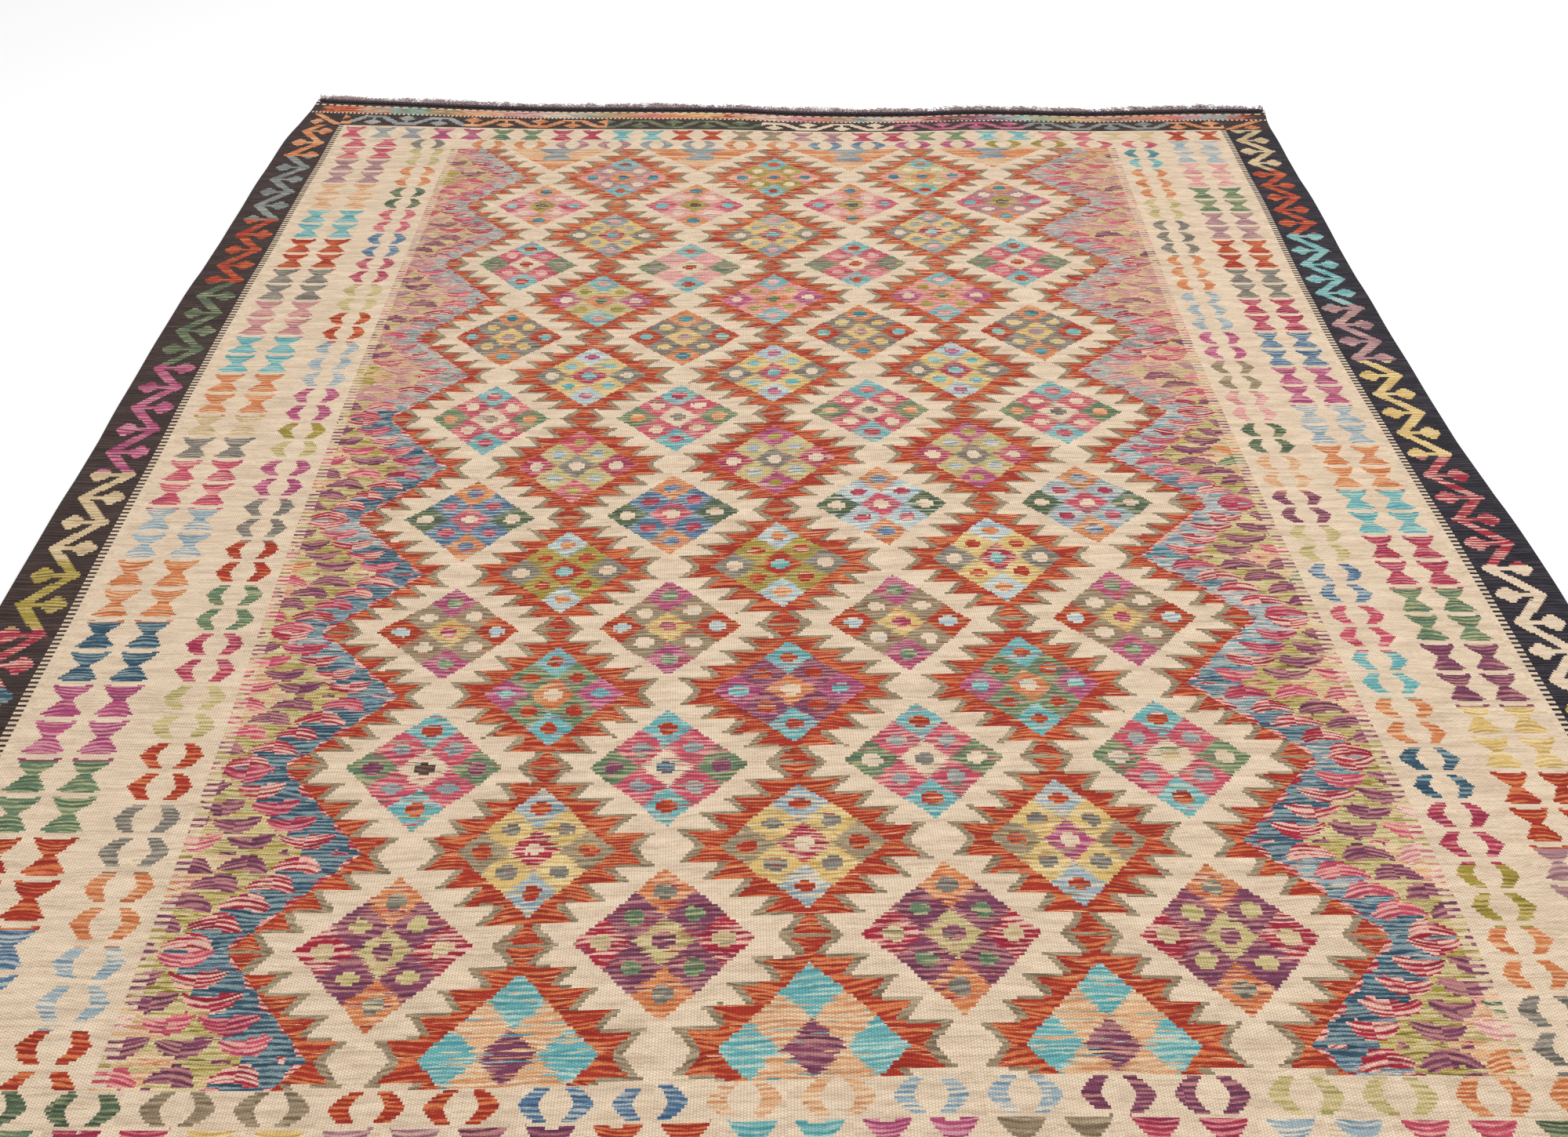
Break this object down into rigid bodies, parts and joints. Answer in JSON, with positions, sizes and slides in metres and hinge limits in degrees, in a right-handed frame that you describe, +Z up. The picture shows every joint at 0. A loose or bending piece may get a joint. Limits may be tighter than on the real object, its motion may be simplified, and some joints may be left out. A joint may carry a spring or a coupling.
{
  "type": "kilim rug",
  "caption": "Flat-woven wool kilim rug lying flat, with a plaited dark cord and short cut fringe along each end.",
  "frame": {"origin": "middle of the footprint, on the plane the underside rests on", "axes": "+X across the rug, +Y along it towards the end that lies far from the viewer, +Z up"},
  "size_m": [2.013, 2.9844, 0.005],
  "materials": {
    "woven_wool": "matte wool flatweave in many colours on an ivory ground",
    "end_cord_wool": "matte dark plaited wool with frizzy cut ends"
  },
  "bodies": {
    "root": {"kilim": "woven_wool", "far_end_fringe": "end_cord_wool", "near_end_fringe": "end_cord_wool"}
  },
  "joints": []
}
